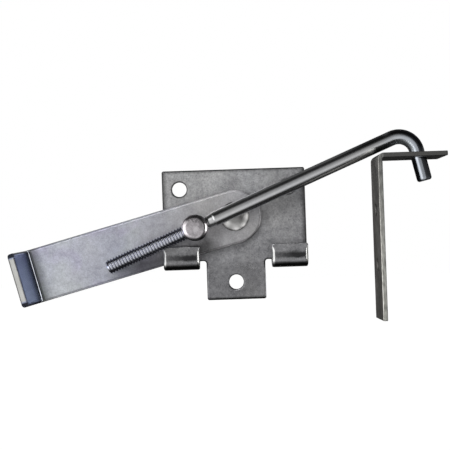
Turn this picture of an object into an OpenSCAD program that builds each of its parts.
// Gravity gate latch for a swinging gate, in zinc-plated steel.
// A riveted lever on a T-shaped mounting plate carries a swivel stud. A hook
// rod screws through the stud and drops into the hole of an L-shaped strike.
// The lever falls into one of the plate's two rest hooks and holds the gate.
//
// Millimetres. X runs along the gate, Z is up, the front faces -Y, and the
// plate's back face lies on Y = 0. The origin is the centre of the plate's
// three-hole bolt circle, on that back face.

/* [Mounting plate] */
// Width of the plate across the two rest hooks
plate_w = 101.6; // [98:0.1:106]
// Thickness of the plate's sheet
plate_t = 3.0; // [2.5:0.1:3.2]
// Height of the plate's top edge above the bolt circle's centre
plate_top = 35.6; // [33:0.1:44]
// Width of the tab that holds the lower bolt
tab_w = 41.8; // [36:0.1:44]
// Distance of the tab's bottom edge below the bolt circle's centre
tab_drop = 57.0; // [54:0.1:64]
// Diameter of the circle through the three bolt holes
bolt_circle_d = 88.9; // [84:0.1:92]
// Diameter of each bolt hole in the plate
bolt_hole_d = 10.3; // [8:0.1:11]
// Radius of the plate's outer corners
plate_corner_r = 1.2; // [0.5:0.1:4]

/* [Rest hooks] */
// Width of each rest hook, measured in from the plate's side
hook_w = 25.4; // [22:0.1:26]
// Clear gap inside the hook, front to back
hook_gap = 9.4; // [8.6:0.1:12]
// Radius inside the hook's two bends
hook_inner_r = 3.3; // [1:0.1:3.4]
// Distance of the hook's inner floor below the bolt circle's centre
hook_floor = 31.9; // [31.8:0.1:32.6]
// Distance of the hook lip's top edge below the bolt circle's centre
hook_lip = 18.3; // [16.5:0.1:24]
// Distance of the relief notches' tops below the bolt circle's centre
notch_drop = 29.1; // [28.6:0.1:30]

/* [Lever] */
// Width of the lever's flat bar
lever_w = 38.1; // [36:0.1:38.1]
// Thickness of the lever's flat bar
lever_t = 4.76; // [4:0.01:5]
// Distance from the pivot to the inner corner of the grip's bend
lever_len = 146.6; // [120:0.1:170]
// Resting angle of the lever below the horizontal
lever_tilt = 14.8; // [14:0.1:15]
// Length of the grip lip, from the inner corner to its free edge
grip_len = 24.7; // [18:0.1:30]
// Angle through which the grip lip is bent forward
grip_angle = 75; // [60:1:88]
// Radius inside the grip's bend
grip_bend_r = 2.4; // [1.5:0.1:5]
// Radius of the grip lip's two free corners
grip_corner_r = 2.2; // [1:0.1:8]

/* [Pivot] */
// Height of the lever's pivot above the bolt circle's centre
pivot_z = 1.7; // [1:0.1:3]
// Diameter of the rivet's shoulder, which the lever turns on
rivet_shank_d = 12.7; // [11:0.1:14]
// Diameter of the rivet's domed head
rivet_head_d = 20.4; // [18:0.1:24]
// Height of the rivet's domed head
rivet_head_h = 4.0; // [3:0.1:4.6]
// Diameter of the rivet's neck in the plate
rivet_neck_d = 9.5; // [8:0.1:10]
// Diameter of the rivet's flared end in the plate's countersink
rivet_flare_d = 13.2; // [12:0.1:14.5]
// Outside diameter of the spacer washer between plate and lever
spacer_d = 25.4; // [22:0.1:30]
// Thickness of the spacer washer
spacer_t = 2.34; // [2.3:0.01:2.6]

/* [Swivel stud] */
// Distance of the stud from the lever's pivot
stud_offset = 28.575; // [28:0.005:29]
// Diameter of the stud's head
stud_d = 18.4; // [17:0.1:19]
// Height of the stud's head in front of the lever
stud_h = 21.4; // [20.6:0.1:24]
// Radius of the rounding around the stud's face
stud_rim_r = 3.6; // [1:0.1:4]
// Diameter of the stud's shank through the lever
stud_shank_d = 9.5; // [8:0.1:10]
// Diameter of the stud's peened tail
stud_tail_d = 13.0; // [12:0.1:14]
// Outside diameter of the washer under the stud's tail
stud_washer_d = 18.0; // [16:0.1:20]
// Thickness of the washer under the stud's tail
stud_washer_t = 0.95; // [0.8:0.01:1]

/* [Hook rod] */
// Diameter of the rod's plain shank
rod_d = 10.4; // [9.8:0.1:10.4]
// Outside diameter of the rod's thread
thread_d = 10.0; // [9.2:0.1:10]
// Pitch of the thread, twelve threads to the inch
thread_pitch = 2.117; // [1.5:0.001:2.2]
// Depth of the thread
thread_depth = 1.1; // [0.6:0.05:1.2]
// Resting angle of the rod above the horizontal
rod_tilt = 22.65; // [22.5:0.05:23]
// Length of the threaded tail past the stud's centre
tail_len = 66.6; // [60:0.1:72]
// Length of thread on the hook's side of the stud's centre
thread_ahead = 14.0; // [13.5:0.1:16]
// Distance from the stud's centre to the corner of the hook's bend
rod_reach = 164.8; // [164:0.1:165.5]
// Angle through which the hook is bent
hook_turn = 99.35; // [98:0.05:100]
// Radius of the hook's bend, on the rod's centre line
hook_bend_r = 12.7; // [11:0.1:16]
// Distance from the bend's corner to the tip of the hook
hook_drop = 35.5; // [32:0.1:40]

/* [Strike] */
// Thickness of the strike's flat bar
strike_t = 3.175; // [3:0.005:4]
// Width of the strike's flat bar
strike_w = 38.1; // [36:0.1:38.1]
// Distance of the strike's mounting face from the bolt circle's centre
strike_x = 98.2; // [97.5:0.1:99]
// Height of the strike's shelf above the bolt circle's centre
strike_top = 41.0; // [40.5:0.1:41.5]
// Height of the strike's upright leg
strike_leg = 114.3; // [110:0.1:120]
// Length of the strike's shelf, out from the mounting face
strike_shelf = 47.8; // [46:0.1:52]
// Diameter of the hook's hole in the shelf
hook_hole_d = 17.5; // [15.8:0.1:18]
// Distance of the hook's hole from the mounting face
hook_hole_x = 30.7; // [30.4:0.1:31]
// Diameter of the strike's two bolt holes
strike_bolt_d = 8.5; // [6.5:0.1:9]
// Distance between the strike's two bolt holes
strike_bolt_gap = 38.1; // [30:0.1:44]
// Distance of the strike's bolt holes' centre below the bolt circle's centre
strike_bolt_drop = 16.15; // [12:0.05:20]

/* [Clearances] */
// Radial clearance of the lever and the stud on their bearings
turn_gap = 0.06; // [0.02:0.01:0.09]
// Radial clearance of the thread in the stud's cross hole
thread_gap = 0.05; // [0.02:0.01:0.09]
// Gap left between pieces that are pressed or peened together
seat_gap = 0.02; // [0.01:0.01:0.03]

/* [Hidden] */
$fn = 96;

zinc = "silver";
zinc_dark = "darkgray";
bright = "gainsboro";

past = 1;           // how far a cut or a joint runs past a face
hair = 0.01;        // step that keeps two faces from coinciding

// places along Y, front faces towards -Y
lever_gap = 2.4;    // between plate and lever, taken up by the spacer
lever_back = -(plate_t + lever_gap);
lever_front = lever_back - lever_t;
rod_y = lever_front - stud_h / 2;

// the lever points to the left and down from its pivot
lever_dir = 180 + lever_tilt;
pivot_pos = [0, 0, pivot_z];
stud_pos = pivot_pos + stud_offset * [cos(lever_dir), 0, sin(lever_dir)];

// puts a shape drawn in the plane X-Z on the Y axis, thickness towards -Y
module flat(thick) {
    rotate([90, 0, 0]) linear_extrude(thick) children();
}

// a solid of revolution about Y, drawn as radius against depth towards -Y
module turned() {
    rotate([90, 0, 0]) rotate_extrude() children();
}

// a plain pin or hole along Y, between two depths towards -Y
module along_y(radius, from, to) {
    translate([0, -from, 0]) rotate([90, 0, 0])
        cylinder(r = radius, h = to - from);
}

// a flat ring about Y, its back at a depth towards -Y
module washer(outer_d, shank_d, back, thick) {
    difference() {
        along_y(outer_d / 2, back, back + thick);
        along_y(shank_d / 2 + turn_gap, back - past, back + thick + past);
    }
}

// the lever's own frame: origin at the pivot, X along the bar to the grip
module on_lever() {
    translate(pivot_pos) rotate([0, -lever_dir, 0]) children();
}

// the rod's own frame: origin at the stud's centre, X along the rod
module on_rod() {
    translate([stud_pos[0], rod_y, stud_pos[2]])
        rotate([0, -rod_tilt, 0]) children();
}

// rectangle from corner to corner with round corners
module round_rect(x0, y0, x1, y1, radius) {
    translate([x0 + radius, y0]) square([x1 - x0 - 2 * radius, y1 - y0]);
    translate([x0, y0 + radius]) square([x1 - x0, y1 - y0 - 2 * radius]);
    for (x = [x0 + radius, x1 - radius], y = [y0 + radius, y1 - radius])
        translate([x, y]) circle(radius);
}

// the concave fillet that fills a square corner at the origin
module fillet(radius) {
    difference() {
        square(radius);
        translate([radius, radius]) circle(radius);
    }
}

// ---------------------------------------------------------------- plate

bend_z = -hook_floor + hook_inner_r;    // where the hooks start to bend
sheet_spare = 6;        // sheet drawn below the bend line, then cut away
sheet_cut = 10;         // height of the cuts in the sheet's lower edge
notch_fillet_r = 2;     // between each notch and the tab
hook_open_h = 60;       // height of the cut that opens the hooks upwards
bolt_angles = [30, 150, 270];
rivet_flare_h = (rivet_flare_d - rivet_neck_d) / 2;
sink_tip = 2;           // depth of the countersink cutter's point

module plate_outline() {
    half_w = plate_w / 2;
    notch_x = half_w - hook_w;          // inner side of each hook
    notch_z = -notch_drop;              // top of the relief notch
    difference() {
        union() {
            round_rect(-half_w, bend_z - sheet_spare, half_w, plate_top,
                       plate_corner_r);
            round_rect(-tab_w / 2, -tab_drop, tab_w / 2, 0, plate_corner_r);
        }
        for (side = [0, 1]) mirror([side, 0]) {
            // everything below the bend line, where the hook takes over
            translate([notch_x, bend_z - sheet_cut])
                square([hook_w + past, sheet_cut]);
            // relief notch between the hook and the tab
            translate([tab_w / 2, notch_z - sheet_cut])
                square([notch_x - tab_w / 2 + hair, sheet_cut]);
        }
    }
    for (side = [0, 1]) mirror([side, 0])
        translate([tab_w / 2, notch_z]) rotate(-90) fillet(notch_fillet_r);
}

// the hook's section, drawn as Y against Z
module hook_section() {
    inner_r = hook_inner_r;
    outer_r = inner_r + plate_t;
    back = -plate_t - inner_r;                  // centre of the rear bend
    front = -plate_t - hook_gap + inner_r;      // centre of the front bend
    span = back - front;
    difference() {
        union() {
            translate([front - outer_r, bend_z])
                square([span + 2 * outer_r, -hook_lip - bend_z]);
            translate([front, bend_z - outer_r]) square([span, outer_r]);
            for (y = [back, front]) translate([y, bend_z]) circle(outer_r);
        }
        translate([front - inner_r, bend_z])
            square([span + 2 * inner_r, hook_open_h]);
        translate([front, bend_z - inner_r]) square([span, inner_r + past]);
        for (y = [back, front]) translate([y, bend_z]) circle(inner_r);
    }
}

module mounting_plate() {
    neck_r = rivet_neck_d / 2 + seat_gap;
    sink_r = rivet_flare_d / 2 + seat_gap;
    color(zinc) difference() {
        union() {
            flat(plate_t) plate_outline();
            for (x = [-plate_w / 2, plate_w / 2 - hook_w])
                translate([x, 0, 0]) rotate([90, 0, 90])
                    linear_extrude(hook_w) hook_section();
        }
        for (angle = bolt_angles)
            rotate([0, -angle, 0]) translate([bolt_circle_d / 2, 0, 0])
                along_y(bolt_hole_d / 2, -past, plate_t + past);
        translate(pivot_pos) {
            along_y(neck_r, -past, plate_t + past);
            // countersink at the back for the rivet's flared end
            turned() polygon([[0, -past], [sink_r + past, -past], [sink_r, 0],
                              [neck_r, rivet_flare_h], [0, sink_tip]]);
        }
    }
}

// ---------------------------------------------------------------- pivot

rivet_head_gap = 0.08;  // between the lever's front and the rivet's head
rivet_rim_h = 0.8;      // straight rim below the rivet's dome
dome_sink = 0.001;      // how far the dome is let into the shoulder

// shallow dome with a short straight rim, drawn as radius against height
module dome(diameter, height, rim) {
    rise = height - rim;
    dome_r = (diameter * diameter / 4 + rise * rise) / (2 * rise);
    square([diameter / 2, rim]);
    intersection() {
        translate([0, height - dome_r]) circle(dome_r);
        translate([0, rim]) square([diameter / 2, rise + past]);
    }
}

module pivot_rivet() {
    head = -lever_front + rivet_head_gap;   // underside of the head
    shoulder = plate_t + seat_gap;          // back of the shoulder
    neck_r = rivet_neck_d / 2;
    shank_r = rivet_shank_d / 2;
    color(zinc) translate(pivot_pos) turned() {
        polygon([[0, 0], [rivet_flare_d / 2, 0], [neck_r, rivet_flare_h],
                 [neck_r, shoulder], [shank_r, shoulder],
                 [shank_r, head], [0, head]]);
        translate([0, head - dome_sink])
            dome(rivet_head_d, rivet_head_h, rivet_rim_h);
    }
}

module spacer_washer() {
    color(zinc_dark) translate(pivot_pos)
        washer(spacer_d, rivet_shank_d, plate_t + seat_gap, spacer_t);
}

// ---------------------------------------------------------------- lever

grip_lead = grip_bend_r * tan(grip_angle / 2);
grip_x = lever_len - grip_lead;         // where the bar starts to bend
grip_y = lever_front - grip_bend_r;     // centre of the grip's bend
grip_overlap = 0.3;     // how far the lip reaches into the bend
corner_spare = 0.1;     // added to the radius of the corner cutter's arc
lever_hole_depth = 20;  // far enough to pass through the bar

// the bend and the grip lip, drawn from the bend's centre, X against Y
module grip_section() {
    outer_r = grip_bend_r + lever_t;
    reach = 2 * outer_r;
    intersection() {
        difference() {
            circle(outer_r);
            circle(grip_bend_r);
        }
        polygon([[0, 0], [0, reach], [reach, reach],
                 reach * [sin(grip_angle), cos(grip_angle)]]);
    }
    // the lip's faces lie a hair inside the bend's, and it starts inside it
    rotate(90 - grip_angle)
        translate([grip_bend_r + hair, grip_lead - grip_len])
            square([lever_t - 2 * hair, grip_len - grip_lead + grip_overlap]);
}

// cutter that rounds one free corner of the grip lip, extruded along X
module grip_corner() {
    rotate([90, 0, 90]) linear_extrude(lever_t + 2 * past) difference() {
        translate([-past, -past]) square(grip_corner_r + past);
        translate([grip_corner_r, grip_corner_r])
            circle(grip_corner_r + corner_spare);
    }
}

module lever_handle() {
    color(bright) on_lever() difference() {
        union() {
            // flat bar, round about the pivot
            translate([0, lever_back, 0]) flat(lever_t) {
                circle(lever_w / 2);
                translate([0, -lever_w / 2]) square([grip_x, lever_w]);
            }
            translate([grip_x, grip_y, -lever_w / 2])
                linear_extrude(lever_w) grip_section();
        }
        // holes for the rivet and the stud: place along the bar, shank
        for (hole = [[0, rivet_shank_d], [stud_offset, stud_shank_d]])
            translate([hole[0], 0, 0])
                along_y(hole[1] / 2 + turn_gap, 0, lever_hole_depth);
        // free corners of the grip lip
        for (side = [0, 1]) mirror([0, 0, side])
            translate([grip_x, grip_y, 0]) rotate([0, 0, 90 - grip_angle])
                translate([grip_bend_r - past, grip_lead - grip_len,
                           -lever_w / 2])
                    grip_corner();
    }
}

// ---------------------------------------------------------------- stud

stud_head_gap = 0.05;   // between the lever's front and the stud's head
stud_tail_gap = 1.0;    // between the lever's back and the tail
tail_round_r = 0.4;     // rounding around the tail's back
tail_rim_h = 0.45;      // straight part of the tail's rim
shank_overlap = 0.1;    // how far the shank reaches into tail and head
cross_hole_spare = 10;  // length of the cross hole's cutter beyond the head

module swivel_stud() {
    foot = -lever_front + stud_head_gap;    // underside of the head
    face = -lever_front + stud_h;           // front of the head
    tail = -lever_back - stud_tail_gap;     // front of the peened tail
    head_r = stud_d / 2;
    tail_r = stud_tail_d / 2;
    tail_h = tail_rim_h + tail_round_r;
    color(bright) difference() {
        translate(stud_pos) turned() {
            // peened tail and shank
            translate([0, tail - tail_h]) square([tail_r - tail_round_r, tail_h]);
            translate([0, tail - tail_rim_h]) square([tail_r, tail_rim_h]);
            translate([tail_r - tail_round_r, tail - tail_rim_h])
                circle(tail_round_r);
            translate([0, tail - shank_overlap])
                square([stud_shank_d / 2, foot - tail + 2 * shank_overlap]);
            // head with its rounded rim
            translate([0, foot]) square([head_r, face - foot - stud_rim_r]);
            translate([0, foot]) square([head_r - stud_rim_r, face - foot]);
            translate([head_r - stud_rim_r, face - stud_rim_r])
                circle(stud_rim_r);
        }
        on_rod() rotate([0, 90, 0])
            cylinder(r = thread_d / 2 + thread_gap,
                     h = stud_d + cross_hole_spare, center = true);
    }
}

module stud_washer() {
    color(zinc_dark) translate(stud_pos)
        washer(stud_washer_d, stud_shank_d,
               -lever_back - stud_tail_gap + seat_gap, stud_washer_t);
}

// ---------------------------------------------------------------- rod

hook_lead = hook_bend_r * tan(hook_turn / 2);   // bend's corner to its ends
thread_runout = 1.2;    // unthreaded length beside the plain shank
tail_plain = 2;         // least unthreaded length at the tail's end
tail_chamfer = 1.1;     // length of the tail's chamfer
shank_chamfer = 0.4;    // chamfer where the plain shank begins
tip_overlap = 0.2;      // how far the tip reaches into the bend
tip_chamfer_len = 1.6;
tip_chamfer_in = 1.2;   // how far the tip's chamfer cuts in

// half section of the threaded length: radius against length along the rod
module thread_section() {
    crest = thread_d / 2;
    root = crest - thread_depth;
    // one groove: radius, fraction of the pitch
    groove = [[crest, 0], [root, 0.42], [root, 0.58], [crest, 0.87]];
    turns = floor((tail_len + thread_ahead - thread_runout - tail_plain)
                  / thread_pitch);
    start = thread_ahead - thread_runout - turns * thread_pitch;
    joint = thread_ahead + past;        // ends inside the plain shank
    polygon(concat(
        [[0, -tail_len], [root, -tail_len], [crest, -tail_len + tail_chamfer]],
        [for (i = [0:turns - 1]) for (point = groove)
            [point[0], start + (i + point[1]) * thread_pitch]],
        [[crest, joint], [0, joint]]));
}

// plain shank, bend and tip, drawn in the frame of the bend's centre
module hook_end() {
    run = rod_reach - hook_lead - thread_ahead;
    tip = hook_drop - hook_lead + tip_overlap;
    rod_r = rod_d / 2;
    // shank with a small chamfer where the thread begins
    translate([0, hook_bend_r, 0]) rotate([0, -90, 0]) rotate_extrude()
        polygon([[0, 0], [rod_r, 0], [rod_r, run - shank_chamfer],
                 [rod_r - shank_chamfer, run], [0, run]]);
    rotate_extrude(angle = hook_turn, start = 90 - hook_turn)
        translate([hook_bend_r, 0]) circle(rod_r);
    // tip with its chamfered end, let a little way into the bend
    rotate([0, 0, 90 - hook_turn]) translate([hook_bend_r, tip_overlap, 0])
        rotate([90, 0, 0]) rotate_extrude()
            polygon([[0, 0], [rod_r - hair, 0],
                     [rod_r - hair, tip - tip_chamfer_len],
                     [rod_r - tip_chamfer_in, tip], [0, tip]]);
}

module hook_rod() {
    color(zinc) on_rod() {
        rotate([0, 90, 0]) rotate_extrude() thread_section();
        // the bend turns the rod down, towards the strike's hole
        translate([rod_reach - hook_lead, 0, -hook_bend_r])
            rotate([90, 0, 0]) hook_end();
    }
}

// ---------------------------------------------------------------- strike

strike_inner_r = 1.0;   // radius inside the strike's bend

// upright leg, shelf and the bend between them, drawn as X against Z
module strike_section() {
    outer_r = strike_t + strike_inner_r;
    translate([strike_x, strike_top - strike_leg])
        square([strike_t, strike_leg - outer_r]);
    translate([strike_x + outer_r, strike_top - strike_t])
        square([strike_shelf - outer_r, strike_t]);
    translate([strike_x + outer_r, strike_top - outer_r]) intersection() {
        difference() {
            circle(outer_r);
            circle(strike_inner_r);
        }
        translate([-2 * outer_r, 0]) square(2 * outer_r);
    }
}

module strike_bracket() {
    cut_len = strike_t + 2 * past;
    color(zinc) difference() {
        translate([0, rod_y + strike_w / 2, 0]) flat(strike_w) strike_section();
        translate([strike_x + hook_hole_x, rod_y, strike_top - strike_t - past])
            cylinder(d = hook_hole_d, h = cut_len);
        for (side = [-1, 1])
            translate([strike_x - past, rod_y,
                       -strike_bolt_drop + side * strike_bolt_gap / 2])
                rotate([0, 90, 0]) cylinder(d = strike_bolt_d, h = cut_len);
    }
}

mounting_plate();
pivot_rivet();
spacer_washer();
lever_handle();
swivel_stud();
stud_washer();
hook_rod();
strike_bracket();
